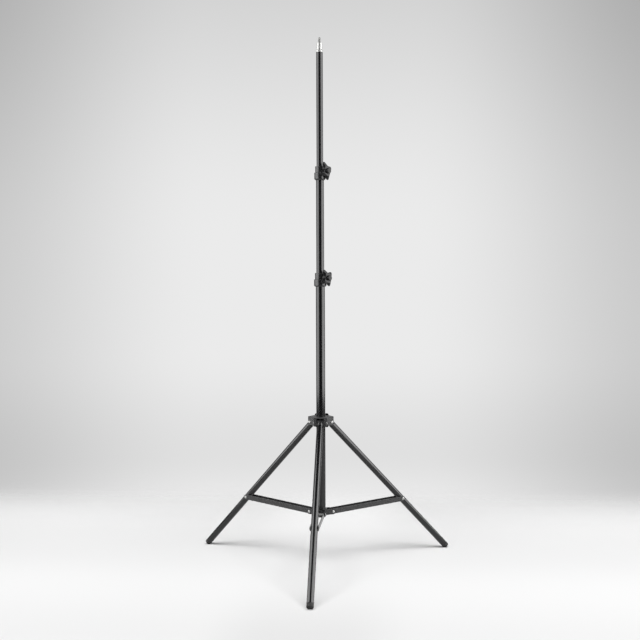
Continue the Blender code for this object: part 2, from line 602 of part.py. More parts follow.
def make_foot_cap(number, plug, materials, pivot):
    """Cap in the leg's lower end, cut flat where it stands on the floor."""
    inside = FOOT_CAP_LENGTH + FOOT_CAP_DEPTH
    rounding = arc((LEG_TUBE_RADIUS - FOOT_CAP_ROUND, FOOT_CAP_ROUND), FOOT_CAP_ROUND, -90, 0, ROUND_STEPS)
    profile = [(0, 0)] + rounding
    profile += [(LEG_TUBE_RADIUS, FOOT_CAP_LENGTH), (plug, FOOT_CAP_LENGTH), (plug, inside), (0, inside)]
    cap = turned(f"foot_cap_{number}", profile, materials["rubber"])
    builder = bmesh.new()
    builder.from_mesh(cap.data)
    floor_up = Vector((math.sin(OPEN), 0, math.cos(OPEN)))
    everything = builder.verts[:] + builder.edges[:] + builder.faces[:]
    cut = bmesh.ops.bisect_plane(builder, geom=everything, plane_co=-floor_up * FOOT_END_Z,
                                 plane_no=floor_up, clear_inner=True)
    rim = [part for part in cut["geom_cut"] if isinstance(part, bmesh.types.BMEdge)]
    bmesh.ops.contextual_create(builder, geom=rim)
    bmesh.ops.recalc_face_normals(builder, faces=builder.faces)
    builder.to_mesh(cap.data)
    builder.free()
    cap.data.set_sharp_from_angle(angle=math.radians(CRISP_TURN))
    attach(cap, pivot, (0, 0, -LEG_LENGTH))


def make_brace(number, azimuth, materials):
    """One brace: two straps and the two rivets that hold them to the leg. X runs out along it."""
    pivot = carrier(f"brace_{number}", radial(azimuth, SPIDER_PIVOT_RADIUS, SPIDER_PIVOT_Z),
                    azimuth, -BRACE_SLOPE)
    half = STRAP_WIDTH / 2
    outline = arc((BRACE_LENGTH, 0), half, -90, 90) + arc((0, 0), half, 90, 270)
    holes = [(0, 0, RIVET_RADIUS + RUN_GAP), (BRACE_LENGTH, 0, RIVET_HOLE_RADIUS)]
    for side, label in ((-1, "right"), (1, "left")):
        strap = plate(f"brace_strap_{number}_{label}", outline, holes, side * STRAP_INNER,
                      side * STRAP_OUTER, materials["strap"])
        attach(strap, pivot)
        base, head = rivet_head(STRAP_OUTER)
        profile = [(0, STRAP_INNER), (RIVET_RADIUS, STRAP_INNER), (RIVET_RADIUS, base)] + head
        profile += [(0, head[-1][1])]
        rivet = turned(f"brace_rivet_{number}_{label}", profile, materials["steel"], RIVET_FACETS)
        attach(rivet, pivot, (BRACE_LENGTH, 0, 0), (-90 * side, 0, 0))


def build():
    clear_scene()
    materials = {
        "tube": make_material("black_tube_paint", (0.012, 0.012, 0.013), 0.32, 0.0),
        "strap": make_material("black_strap_paint", (0.020, 0.020, 0.021), 0.42, 0.0),
        "plastic": make_material("dark_moulded_plastic", (0.030, 0.030, 0.031), 0.55, 0.0),
        "knob": make_material("dark_knob_plastic", (0.020, 0.020, 0.021), 0.62, 0.0),
        "rubber": make_material("foot_rubber", (0.016, 0.016, 0.016), 0.80, 0.0),
        "steel": make_material("bright_steel", (0.66, 0.66, 0.65), 0.28, 1.0),
        "brass": make_material("pad_brass", (0.62, 0.45, 0.20), 0.40, 1.0),
    }
    make_base(materials)
    make_middle_section(materials)
    make_top_section(materials)
    make_leg_collar(materials)
    for number, azimuth in enumerate(LEG_AZIMUTHS, 1):
        make_leg(number, azimuth, materials)
        make_brace(number, azimuth, materials)


build()
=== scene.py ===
import json
import math

import bmesh
import bpy
from mathutils import Matrix, Vector


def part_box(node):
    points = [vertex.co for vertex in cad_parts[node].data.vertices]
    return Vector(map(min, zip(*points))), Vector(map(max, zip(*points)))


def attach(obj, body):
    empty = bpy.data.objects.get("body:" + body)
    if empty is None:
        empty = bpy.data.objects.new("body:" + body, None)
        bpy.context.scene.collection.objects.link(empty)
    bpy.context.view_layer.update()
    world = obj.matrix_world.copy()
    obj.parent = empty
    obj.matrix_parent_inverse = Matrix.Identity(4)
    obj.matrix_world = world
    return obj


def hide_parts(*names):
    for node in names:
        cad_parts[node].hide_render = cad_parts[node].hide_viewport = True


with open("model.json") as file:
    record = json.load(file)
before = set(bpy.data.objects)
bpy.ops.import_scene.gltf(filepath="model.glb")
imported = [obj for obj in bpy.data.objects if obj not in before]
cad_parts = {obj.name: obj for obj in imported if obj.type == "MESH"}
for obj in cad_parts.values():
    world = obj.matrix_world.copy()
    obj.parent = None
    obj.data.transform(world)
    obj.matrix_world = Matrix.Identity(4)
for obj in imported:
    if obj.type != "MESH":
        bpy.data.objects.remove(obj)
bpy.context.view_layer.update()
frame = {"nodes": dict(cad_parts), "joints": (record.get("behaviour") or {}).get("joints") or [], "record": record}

# Camera
# The picture is taken from 2.6 m in front of the mast, just above half the stand's height and a few
# degrees to its right, with a normal lens tipped slightly down and not quite level.
CAMERA_DISTANCE = 2.574
CAMERA_HEIGHT = 0.7047
CAMERA_AZIMUTH = math.radians(3.94)
CAMERA_SIDE = -0.0011
CAMERA_PITCH = math.radians(2.42)
CAMERA_ROLL = math.radians(-0.22)
PHOTO_WIDTH_PX = 640
FOCAL_LENGTH_PX = 1065.7

base_tube_low, base_tube_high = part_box("base_tube")
mast = (base_tube_low + base_tube_high) / 2
mast.z = 0
away = Vector((math.sin(CAMERA_AZIMUTH), -math.cos(CAMERA_AZIMUTH), 0))
sideways = Vector((math.cos(CAMERA_AZIMUTH), math.sin(CAMERA_AZIMUTH), 0))
stand_point = mast + away * CAMERA_DISTANCE + sideways * CAMERA_SIDE
stand_point.z = CAMERA_HEIGHT
lens = bpy.data.cameras.new("photo_camera")
lens.lens = lens.sensor_width * FOCAL_LENGTH_PX / PHOTO_WIDTH_PX
camera = bpy.data.objects.new("photo_camera", lens)
tip = Matrix.Rotation(math.pi / 2 - CAMERA_PITCH, 4, "X") @ Matrix.Rotation(CAMERA_ROLL, 4, "Z")
camera.matrix_world = Matrix.Translation(stand_point) @ Matrix.Rotation(CAMERA_AZIMUTH, 4, "Z") @ tip
bpy.context.scene.collection.objects.link(camera)
bpy.context.scene.camera = camera
bpy.context.scene.view_settings.view_transform = "Standard"

# Mast tubes
# Three thin-walled tubes, 22, 19 and 16 mm across, drawn through dies, sawn square and coated with
# black semi-gloss powder. Each slides in the one below it, which leaves faint marks along it.
TUBE_WALL = 0.001
TUBE_RIM = 0.0003
TUBE_FACETS = 96
CORNER_STEPS = 4
CRISP_TURN = math.radians(38)
body_of = {}
for body, nodes in frame["record"]["behaviour"]["bodies"].items():
    for node in nodes:
        body_of[node] = body


def softened(corners):
    """An outline from (radius, height, rounding) corners, with an arc for each rounded corner."""
    outline = []
    for number, (radius, height, rounding) in enumerate(corners):
        corner = Vector((radius, height))
        if rounding == 0:
            outline.append(corner)
            continue
        before = (Vector(corners[number - 1][:2]) - corner).normalized()
        after = (Vector(corners[(number + 1) % len(corners)][:2]) - corner).normalized()
        half = before.angle(after) / 2
        centre = corner + (before + after).normalized() * rounding / math.sin(half)
        first = corner + before * rounding / math.tan(half) - centre
        last = corner + after * rounding / math.tan(half) - centre
        for step in range(CORNER_STEPS + 1):
            outline.append(centre + first.lerp(last, step / CORNER_STEPS).normalized() * rounding)
    return outline


def solid(name, builder):
    """An object from a filled mesh builder, faces outward, smooth but for its crisp edges."""
    bmesh.ops.recalc_face_normals(builder, faces=builder.faces)
    mesh = bpy.data.meshes.new(name)
    builder.to_mesh(mesh)
    builder.free()
    mesh.shade_smooth()
    mesh.set_sharp_from_angle(angle=CRISP_TURN)
    piece = bpy.data.objects.new(name, mesh)
    bpy.context.scene.collection.objects.link(piece)
    return piece


def turned(name, outline, facets, shape=None):
    """Turns a closed outline of (radius, height) points round Z, as a lathe does.

    shape, if it is given, takes a point's number and an angle and returns the point there.
    """
    builder = bmesh.new()
    rings = []
    for number, point in enumerate(outline):
        if point[0] == 0:
            rings.append([builder.verts.new((0, 0, point[1]))] * facets)
            continue
        ring = []
        for facet in range(facets):
            angle = math.tau * facet / facets
            radius, height = shape(number, angle) if shape else point
            ring.append(builder.verts.new((radius * math.cos(angle), radius * math.sin(angle), height)))
        rings.append(ring)
    for ring, after in zip(rings, rings[1:] + rings[:1]):
        for facet in range(facets):
            following = (facet + 1) % facets
            corners = [ring[facet], ring[following], after[following], after[facet]]
            corners = list(dict.fromkeys(corners))
            if len(corners) > 2:
                builder.faces.new(corners)
    return solid(name, builder)


def show(piece, node, material, place):
    """Paints the piece, puts it in place and lets it stand for a node, on the node's body."""
    piece.data.materials.clear()
    piece.data.materials.append(material)
    piece.matrix_world = place
    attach(piece, body_of[node])
    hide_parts(node)


class Shade:
    """One socket of a material's nodes, to reckon with: an operator on it adds the node for it."""

    def __init__(self, tree, socket=None):
        self.tree = tree
        self.socket = socket

    def node(self, kind, settings, sockets, output=0):
        """Adds a node of this type: its settings first, then its sockets' values or links."""
        added = self.tree.nodes.new(kind)
        for name, setting in settings.items():
            setattr(added, name, setting)
        for name, value in sockets.items():
            if isinstance(value, Shade):
                self.tree.links.new(value.socket, added.inputs[name])
            else:
                added.inputs[name].default_value = value
        return Shade(self.tree, added.outputs[output])

    def reckon(self, operation, first, second):
        if self.socket.type == "VECTOR":
            return self.node("ShaderNodeVectorMath", {"operation": operation}, {0: first, 1: second})
        if self.socket.type == "RGBA":
            settings = {"data_type": "RGBA", "blend_type": operation}
            return self.node("ShaderNodeMix", settings, {0: 1.0, 6: first, 7: second}, 2)
        return self.node("ShaderNodeMath", {"operation": operation}, {0: first, 1: second})

    def __add__(self, other):
        return self.reckon("ADD", self, other)

    def __radd__(self, other):
        return self.reckon("ADD", other, self)

    def __sub__(self, other):
        return self.reckon("SUBTRACT", self, other)

    def __rsub__(self, other):
        return self.reckon("SUBTRACT", other, self)

    def __mul__(self, other):
        return self.reckon("MULTIPLY", self, other)

    def __rmul__(self, other):
        return self.reckon("MULTIPLY", other, self)


def new_finish(name, **constants):
    """A material with constant values on its shader, its shader, and a start for its nodes."""
    material = bpy.data.materials.new(name)
    material.use_nodes = True
    shader = material.node_tree.nodes["Principled BSDF"]
    for socket, value in constants.items():
        shader.inputs[socket.replace("_", " ")].default_value = value
    return material, shader, Shade(material.node_tree)


def feed(shader, **links):
    """Links worked-out values to the shader's sockets."""
    for socket, value in links.items():
        value.tree.links.new(value.socket, shader.inputs[socket.replace("_", " ")])


def cloud(place, scale, detail):
    """A noise from 0 to 1 over a place, with its spots about one over scale apart."""
    sockets = {"Vector": place, "Scale": scale, "Detail": detail}
    return place.node("ShaderNodeTexNoise", {"noise_dimensions": "3D"}, sockets, "Fac")


def between(mask, dark, light):
    """The colour that goes from dark, a value or a worked-out one, to light as the mask goes to 1."""
    if not isinstance(dark, Shade):
        dark = (*dark, 1.0)
    return mask.node("ShaderNodeMix", {"data_type": "RGBA"}, {0: mask, 6: dark, 7: (*light, 1.0)}, 2)


def rise(value, start, end):
    """0 below the start, 1 above the end, and a smooth rise between them."""
    sockets = {"Value": value, "From Min": start, "From Max": end}
    return value.node("ShaderNodeMapRange", {"interpolation_type": "SMOOTHSTEP"}, sockets)


def bumps(height, depth):
    """The normal for a relief of this depth in metres."""
    sockets = {"Height": height, "Strength": 1.0, "Distance": depth}
    return height.node("ShaderNodeBump", {}, sockets, "Normal")


POWDER_BLACK = (0.004, 0.004, 0.0045)
POWDER_WORN = (0.009, 0.009, 0.0095)
tube_paint, shader, start = new_finish("black_powder_coat", Specular_IOR_Level=0.5)
place = start.node("ShaderNodeTexCoord", {}, {}, "Object")
mottle = cloud(place, 60.0, 3.0)
peel = cloud(place, 700.0, 2.0)
drawn = cloud(place * (1.0, 1.0, 0.02), 900.0, 2.0)
rubbed = rise(cloud(place * (1.0, 1.0, 0.05), 260.0, 3.0), 0.55, 0.75)
feed(shader, Base_Color=between(mottle * 0.6 + rubbed * 0.4, POWDER_BLACK, POWDER_WORN))
feed(shader, Roughness=mottle * 0.06 + drawn * 0.04 + 0.08 - rubbed * 0.02)
feed(shader, Normal=bumps(peel * 0.7 + drawn * 0.3, 0.00002))


def pipe(name, radius, bore, length):
    """A tube up from the origin, sawn square, with both ends deburred."""
    corners = [(radius, 0, TUBE_RIM), (radius, length, TUBE_RIM)]
    corners += [(bore, length, TUBE_RIM), (bore, 0, TUBE_RIM)]
    return turned(name, softened(corners), TUBE_FACETS)


for name in ("base", "middle", "top"):
    low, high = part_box(f"{name}_tube")
    radius = (high.x - low.x) / 2
    tube = pipe(f"mast_tube_{name}", radius, radius - TUBE_WALL, high.z - low.z)
    show(tube, f"{name}_tube", tube_paint, Matrix.Translation(mast + Vector((0, 0, low.z))))

# Clamp collars
# Two moulded nylon collars, crimped on the tops of the base and middle tubes. The narrower head
# guides the next tube, and a boss on it holds the clamp screw.
SEAT_GAP = 0.0003
RUN_GAP = 0.0004
SOCKET_WALL = 0.0038
SOCKET_DEPTH = 0.015
SOCKET_RISE = 0.0025
SOCKET_TAPER = 0.0025
HEAD_WALL = 0.0029
HEAD_HEIGHT = 0.018
BOSS_RADIUS = 0.006
BOSS_LENGTH = 0.003
SCREW_RISE = 0.006
SCREW_RADIUS = 0.003
CLAMP_AZIMUTH = -34.0
COLLAR_FACETS = 72
BOSS_FACETS = 40
BORE_ROUNDING = 0.0003
MOUTH_ROUNDING = 0.0004
TAPER_ROUNDING = 0.0015
SHOULDER_ROUNDING = 0.0009
STEP_ROUNDING = 0.0007
STEP_SLOPE = 0.0004
HEAD_ROUNDING = 0.0008
BOSS_ROUNDING = 0.0005
BEVEL_STEPS = 3
EDGE_TURN = math.radians(35)


def rod(name, radius, start, end, facets):
    """A plain round bar along Z, for bosses, eyes and drilled holes."""
    return turned(name, [(0, start), (radius, start), (radius, end), (0, end)], facets)


def outward(azimuth, turn=0.0):
    """A turn that points Z out along an azimuth, and then turns about it, both in degrees."""
    angle = math.radians(azimuth)
    out = Vector((math.cos(angle), math.sin(angle), 0)).to_track_quat("Z", "Y")
    return out.to_matrix().to_4x4() @ Matrix.Rotation(math.radians(turn), 4, "Z")


def mark_edges(mesh):
    """Marks on each vertex how sharply the surface turns outward there, from 0 to 1."""
    builder = bmesh.new()
    builder.from_mesh(mesh)
    layer = builder.verts.layers.float.new("edge_wear")
    for vertex in builder.verts:
        turns = [edge.calc_face_angle_signed(0) for edge in vertex.link_edges if len(edge.link_faces) == 2]
        vertex[layer] = min(1.0, max([0.0] + turns) / EDGE_TURN)
    builder.to_mesh(mesh)
    builder.free()


def moulded(piece, joined, cut, rounding):
    """Joins shapes to a piece, cuts others out of it and rounds its edges, as a mould's are."""
    for tools, operation in ((joined, "UNION"), (cut, "DIFFERENCE")):
        for tool in tools:
            step = piece.modifiers.new(tool.name, "BOOLEAN")
            step.operation = operation
            step.solver = "EXACT"
            step.object = tool
    edge = piece.modifiers.new("rounding", "BEVEL")
    edge.width = rounding
    edge.segments = BEVEL_STEPS
    edge.limit_method = "ANGLE"
    edge.angle_limit = EDGE_TURN
    edge.use_clamp_overlap = True
    made = bpy.data.meshes.new_from_object(piece.evaluated_get(bpy.context.evaluated_depsgraph_get()))
    piece.modifiers.clear()
    piece.data = made
    for tool in joined + cut:
        bpy.data.objects.remove(tool, do_unlink=True)
    mark_edges(made)
    made.shade_smooth()
    made.set_sharp_from_angle(angle=CRISP_TURN)
    level = piece.modifiers.new("even_shading", "WEIGHTED_NORMAL")
    level.keep_sharp = True
    return piece


def edge_wear(place, spots, least):
    """A mask of the marked edges, rubbed in spots: spots are their scale, least where they begin."""
    edges = place.node("ShaderNodeAttribute", {"attribute_name": "edge_wear"}, {}, "Fac")
    return rise(edges, 0.2, 0.9) * rise(cloud(place, spots, 3.0), least, 0.7)


PLASTIC_DARK = (0.009, 0.009, 0.0095)
PLASTIC_PALE = (0.016, 0.016, 0.0165)
PLASTIC_EDGE = (0.050, 0.050, 0.052)
moulded_plastic, shader, start = new_finish("moulded_nylon", Specular_IOR_Level=0.5)
place = start.node("ShaderNodeTexCoord", {}, {}, "Object")
grain = cloud(place, 2600.0, 2.0)
flow = cloud(place, 110.0, 3.0)
wear = edge_wear(place, 420.0, 0.35)
feed(shader, Base_Color=between(wear, between(flow, PLASTIC_DARK, PLASTIC_PALE), PLASTIC_EDGE))
feed(shader, Roughness=grain * 0.08 + flow * 0.08 + 0.18 - wear * 0.06)
feed(shader, Normal=bumps(grain, 0.00002))

for name, seat, runner in (("lower", "base", "middle"), ("upper", "middle", "top")):
    seat_low, seat_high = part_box(f"{seat}_tube")
    runner_low, runner_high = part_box(f"{runner}_tube")
    seat_bore = (seat_high.x - seat_low.x) / 2 + SEAT_GAP
    head_bore = (runner_high.x - runner_low.x) / 2 + RUN_GAP
    socket = seat_bore + SOCKET_WALL
    head = head_bore + HEAD_WALL
    corners = [(seat_bore, -SOCKET_DEPTH, BORE_ROUNDING)]
    corners.append((socket - SOCKET_TAPER, -SOCKET_DEPTH, MOUTH_ROUNDING))
    corners.append((socket, -SOCKET_DEPTH + SOCKET_TAPER, TAPER_ROUNDING))
    corners.append((socket, SOCKET_RISE, SHOULDER_ROUNDING))
    corners.append((head, SOCKET_RISE + STEP_SLOPE, STEP_ROUNDING))
    corners.append((head, HEAD_HEIGHT, HEAD_ROUNDING))
    corners.append((head_bore, HEAD_HEIGHT, MOUTH_ROUNDING))
    corners += [(head_bore, SEAT_GAP, 0), (seat_bore, SEAT_GAP, 0)]
    collar = turned(f"{name}_clamp_collar", softened(corners), COLLAR_FACETS)
    boss = rod("boss", BOSS_RADIUS, head_bore + HEAD_WALL / 2, head + BOSS_LENGTH, BOSS_FACETS)
    hole = rod("hole", SCREW_RADIUS + SEAT_GAP, head_bore / 2, head + 2 * BOSS_LENGTH, BOSS_FACETS)
    for tool in (boss, hole):
        tool.matrix_world = Matrix.Translation((0, 0, SCREW_RISE)) @ outward(CLAMP_AZIMUTH)
    moulded(collar, [boss], [hole], BOSS_ROUNDING)
    show(collar, f"{name}_collar", moulded_plastic, Matrix.Translation(mast + Vector((0, 0, seat_high.z))))

# Clamp knobs and their screws
# Four-lobed knobs, moulded round the heads of 6 mm screws, one for each mast clamp and one behind
# the leg collar. The lobes slope inwards from a soft rim, and a round cap stands on them.
KNOB_STANDOFF = 0.0008
KNOB_NECK = 0.0072
KNOB_NECK_LENGTH = 0.0015
KNOB_CORE = 0.013
KNOB_REACH = 0.0226
KNOB_OUTER_CORE = 0.0115
KNOB_OUTER_REACH = 0.0138
KNOB_RIM = 0.0018
KNOB_LOBE_END = 0.0085
KNOB_CAP = 0.0065
KNOB_END = 0.0145
KNOB_DIMPLE = 0.0025
KNOB_DIMPLE_DEPTH = 0.0004
KNOB_CREASE = 0.0003
KNOB_FOOT_ROUNDING = 0.0005
KNOB_EDGE_ROUNDING = 0.0008
KNOB_RIM_ROUNDING = 0.0010
KNOB_CAP_ROUNDING = 0.0012
SCREW_DEPTH = 0.009
KNOB_LOBES = 4
LOBE_SHARPNESS = 1.4
KNOB_FACETS = 144
LOWER_KNOB_TURN = 32.0
UPPER_KNOB_TURN = 22.0
LEG_KNOB_TURN = 45.0
REAR_AZIMUTH = 90.0


def knob_corners(inner, outer):
    """Corners of a knob's section, where it reaches this far out at its inner and outer face."""
    bore = SCREW_RADIUS + SEAT_GAP
    dimple_floor = KNOB_END - KNOB_DIMPLE_DEPTH
    corners = [(0, SCREW_DEPTH, 0), (bore, SCREW_DEPTH, 0), (bore, 0, KNOB_CREASE)]
    corners += [(KNOB_NECK, 0, KNOB_FOOT_ROUNDING), (KNOB_NECK, KNOB_NECK_LENGTH, KNOB_CREASE)]
    corners.append((inner, KNOB_NECK_LENGTH, KNOB_EDGE_ROUNDING))
    corners.append((inner, KNOB_NECK_LENGTH + KNOB_RIM, KNOB_RIM_ROUNDING))
    corners.append((outer, KNOB_LOBE_END, KNOB_EDGE_ROUNDING))
    corners += [(KNOB_CAP, KNOB_LOBE_END, KNOB_CREASE), (KNOB_CAP, KNOB_END, KNOB_CAP_ROUNDING)]
    corners += [(KNOB_DIMPLE, KNOB_END, KNOB_CREASE), (KNOB_DIMPLE, dimple_floor, 0)]
    return corners + [(0, dimple_floor, 0)]


knob_core = softened(knob_corners(KNOB_CORE, KNOB_OUTER_CORE))
knob_lobe = softened(knob_corners(KNOB_REACH, KNOB_OUTER_REACH))


def lobed(number, angle):
    """The knob's surface: it swells from its core to the lobes' reach four times in a turn."""
    swell = (0.5 + 0.5 * math.cos(KNOB_LOBES * angle)) ** LOBE_SHARPNESS
    return knob_core[number].lerp(knob_lobe[number], swell)


KNOB_DARK = (0.005, 0.005, 0.0055)
KNOB_PALE = (0.010, 0.010, 0.0105)
knob_plastic, shader, start = new_finish("moulded_knob_plastic", Specular_IOR_Level=0.2)
place = start.node("ShaderNodeTexCoord", {}, {}, "Object")
grain = cloud(place, 2200.0, 2.0)
flow = cloud(place, 150.0, 3.0)
feed(shader, Base_Color=between(flow, KNOB_DARK, KNOB_PALE))
feed(shader, Roughness=grain * 0.08 + flow * 0.06 + 0.16)
feed(shader, Normal=bumps(grain, 0.00002))

# The steel's colours are darker than bright plated steel's own, a painted shade that keeps the side boxes'
# reflections in it from glaring.
STEEL_DARK = (0.29, 0.29, 0.286)
STEEL_PALE = (0.42, 0.42, 0.412)
bright_steel, shader, start = new_finish("bright_plated_steel", Metallic=1.0)
place = start.node("ShaderNodeTexCoord", {}, {}, "Object")
lathe_lines = cloud(place * (1.0, 1.0, 60.0), 120.0, 2.0)
smear = cloud(place, 300.0, 3.0)
feed(shader, Base_Color=between(smear, STEEL_DARK, STEEL_PALE))
feed(shader, Roughness=lathe_lines * 0.10 + smear * 0.08 + 0.42)
feed(shader, Normal=bumps(lathe_lines, 0.00001))

hinges = {joint["name"]: Vector(joint["pos_m"]) for joint in frame["joints"] if "pos_m" in joint}
middle_tube_low, middle_tube_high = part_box("middle_tube")
top_tube_low, top_tube_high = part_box("top_tube")
mast_boss = RUN_GAP + HEAD_WALL + BOSS_LENGTH
rear_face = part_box("leg_collar")[1].y - mast.y
knobs = (
    ("lower", (middle_tube_high.x - middle_tube_low.x) / 2 + mast_boss, CLAMP_AZIMUTH, LOWER_KNOB_TURN),
    ("upper", (top_tube_high.x - top_tube_low.x) / 2 + mast_boss, CLAMP_AZIMUTH, UPPER_KNOB_TURN),
    ("leg_collar", rear_face, REAR_AZIMUTH, LEG_KNOB_TURN),
)


def finish_node(node, material):
    """Gives a piece that keeps the CAD's own mesh its material."""
    frame["nodes"][node].data.materials.clear()
    frame["nodes"][node].data.materials.append(material)


for name, boss_end, azimuth, turn in knobs:
    knob = turned(f"{name}_clamp_knob", knob_core, KNOB_FACETS, lobed)
    axis = Matrix.Translation(hinges[f"{name}_knob_turn"]) @ outward(azimuth, turn)
    show(knob, f"{name}_knob", knob_plastic, axis @ Matrix.Translation((0, 0, boss_end + KNOB_STANDOFF)))
    finish_node(f"{name}_screw", bright_steel)

# Leg collar
# One thick moulding that slides on the base tube. Three slotted lugs take the tops of the legs,
# and a boss at the back holds the clamp screw.
COLLAR_WALL = 0.0025
LUG_PAST_PIVOT = 0.0045
SLOT_GAP = 0.0015
SLOT_ROOF = 0.0027
LUG_CHEEK = 0.006
LUG_ROUNDING = 0.0007
PIN_HOLE_RADIUS = 0.0023
PIN_HOLE_FACETS = 32
LEG_AZIMUTHS = (-90.0, 30.0, 150.0)

collar_low, collar_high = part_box("leg_collar")
leg_pivot = hinges["leg_1_hinge"]
leg_radius = (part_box("leg_tube_1")[1].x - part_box("leg_tube_1")[0].x) / 2
pivot_radius = (leg_pivot - mast).to_2d().length
top = collar_high.z - leg_pivot.z
bottom = collar_low.z - leg_pivot.z
base_radius = (base_tube_high.x - base_tube_low.x) / 2
slide_bore = base_radius + RUN_GAP
ring = slide_bore + COLLAR_WALL
reach = pivot_radius + LUG_PAST_PIVOT
slot_half = leg_radius + SLOT_GAP
lug_half = slot_half + LUG_CHEEK


def block(name, low, high):
    """A square block between two corners."""
    builder = bmesh.new()
    bmesh.ops.create_cube(builder, size=1.0)
    for vertex in builder.verts:
        vertex.co = [a if side < 0 else b for side, a, b in zip(vertex.co, low, high)]
    return solid(name, builder)


HUB_DARK = (0.022, 0.022, 0.0225)
HUB_PALE = (0.031, 0.031, 0.0315)
HUB_EDGE = (0.080, 0.080, 0.082)
sliding_nylon, shader, start = new_finish("sliding_nylon", Specular_IOR_Level=0.4)
place = start.node("ShaderNodeTexCoord", {}, {}, "Object")
grain = cloud(place, 2400.0, 2.0)
flow = cloud(place, 70.0, 2.0)
wear = edge_wear(place, 380.0, 0.35)
feed(shader, Base_Color=between(wear, between(flow, HUB_DARK, HUB_PALE), HUB_EDGE))
feed(shader, Roughness=grain * 0.08 + flow * 0.08 + 0.36 - wear * 0.08)
feed(shader, Normal=bumps(grain, 0.00003))

hub = rod("leg_slide_collar", ring, bottom, top, COLLAR_FACETS)
lugs = []
cuts = []
for azimuth in LEG_AZIMUTHS:
    turn = Matrix.Rotation(math.radians(azimuth), 4, "Z")
    lug = block("lug", (0, -lug_half, bottom), (reach, lug_half, top))
    slot = block("slot", (ring, -slot_half, 2 * bottom), (2 * reach, slot_half, top - SLOT_ROOF))
    pin_hole = rod("pin_hole", PIN_HOLE_RADIUS, -2 * lug_half, 2 * lug_half, PIN_HOLE_FACETS)
    lug.matrix_world = turn
    slot.matrix_world = turn
    pin_place = Matrix.Translation((pivot_radius, 0, 0)) @ Matrix.Rotation(math.pi / 2, 4, "X")
    pin_hole.matrix_world = turn @ pin_place
    lugs.append(lug)
    cuts += [slot, pin_hole]
boss = rod("boss", BOSS_RADIUS, ring, rear_face, BOSS_FACETS)
boss.matrix_world = outward(REAR_AZIMUTH)
hole = rod("hole", SCREW_RADIUS + SEAT_GAP, base_radius / 2, 2 * rear_face, BOSS_FACETS)
hole.matrix_world = outward(REAR_AZIMUTH)
tube_hole = rod("tube_hole", slide_bore, 2 * bottom, 2 * top, COLLAR_FACETS)
moulded(hub, lugs + [boss], cuts + [hole, tube_hole], LUG_ROUNDING)
show(hub, "leg_collar", sliding_nylon, Matrix.Translation((mast.x, mast.y, leg_pivot.z)))

# Rivets
# Plain steel rivets with low domed heads, bright plated. One runs through each lug of the leg
# collar and each pair of cheeks on the spider, and a short one holds each strap to its leg.
RIVET_RADIUS = 0.002
RIVET_HEAD = 0.0034
RIVET_HEAD_HEIGHT = 0.0013
RIVET_RIM = 0.0004
RIVET_FACETS = 40
DOME_STEPS = 6


def rivet_dome(face):
    """Outline of a domed head that sits on this face, from its underside to its crown."""
    outline = [Vector((RIVET_HEAD, face))]
    for step in range(DOME_STEPS):
        angle = math.pi / 2 * step / DOME_STEPS
        height = face + RIVET_RIM + (RIVET_HEAD_HEIGHT - RIVET_RIM) * math.sin(angle)
        outline.append(Vector((RIVET_HEAD * math.cos(angle), height)))
    return outline + [Vector((0, face + RIVET_HEAD_HEIGHT))]


def through_rivet(name, half_length):
    """A rivet along Z with a head at both ends."""
    face = half_length - RIVET_HEAD_HEIGHT
    head = rivet_dome(face)
    foot = [Vector((point.x, -point.y)) for point in reversed(head)]
    shank = [Vector((RIVET_RADIUS, -face)), Vector((RIVET_RADIUS, face))]
    return turned(name, foot + shank + head, RIVET_FACETS)


for group, near in (("leg_rivet", "leg_slide_collar"), ("spider_rivet", "spider")):
    first_low, first_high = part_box(f"{group}_1")
    half_length = (first_high.x - first_low.x) / 2
    for number, azimuth in enumerate(LEG_AZIMUTHS, 1):
        low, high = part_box(f"{group}_{number}")
        rivet = through_rivet(f"{near}_pin_{number}", half_length)
        show(rivet, f"{group}_{number}", bright_steel,
             Matrix.Translation((low + high) / 2) @ outward(azimuth + 90))

# Legs
# Three 16 mm tubes with the mast's black coat. A moulded knuckle plugged in the top of each one
# turns on the lug's rivet, and a rubber cap is pushed on the lower end and stands on its flat.
LEG_WALL = 0.001
KNUCKLE = 0.0075
KNUCKLE_DEPTH = 0.018
CAP_LENGTH = 0.009
CAP_DEPTH = 0.014
CAP_WITHIN = 0.0001
CAP_ROUNDING = 0.0015
EYE_FACETS = 56
KNUCKLE_ROUNDING = 0.0005
FLAT_ROUNDING = 0.0004
LIP_ROUNDING = 0.0004

RUBBER_DARK = (0.010, 0.010, 0.010)
RUBBER_DUSTY = (0.035, 0.034, 0.033)
foot_rubber, shader, start = new_finish("foot_rubber", Specular_IOR_Level=0.4)
place = start.node("ShaderNodeTexCoord", {}, {}, "Object")
grain = cloud(place, 1500.0, 3.0)
dust = cloud(place, 260.0, 4.0)
feed(shader, Base_Color=between(rise(dust, 0.4, 0.8), RUBBER_DARK, RUBBER_DUSTY))
feed(shader, Roughness=grain * 0.12 + dust * 0.10 + 0.58)
feed(shader, Normal=bumps(grain, 0.00006))


def leg_axes(number):
    """The place of a leg's pivot: Z runs up the leg and Y along the rivet."""
    low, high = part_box(f"leg_tube_{number}")
    pivot = hinges[f"leg_{number}_hinge"]
    up = (pivot - (low + high) / 2).normalized()
    angle = math.radians(LEG_AZIMUTHS[number - 1])
    across = Vector((-math.sin(angle), math.cos(angle), 0))
    turn = Matrix((across.cross(up), across, up)).transposed()
    return Matrix.Translation(pivot) @ turn.to_4x4()


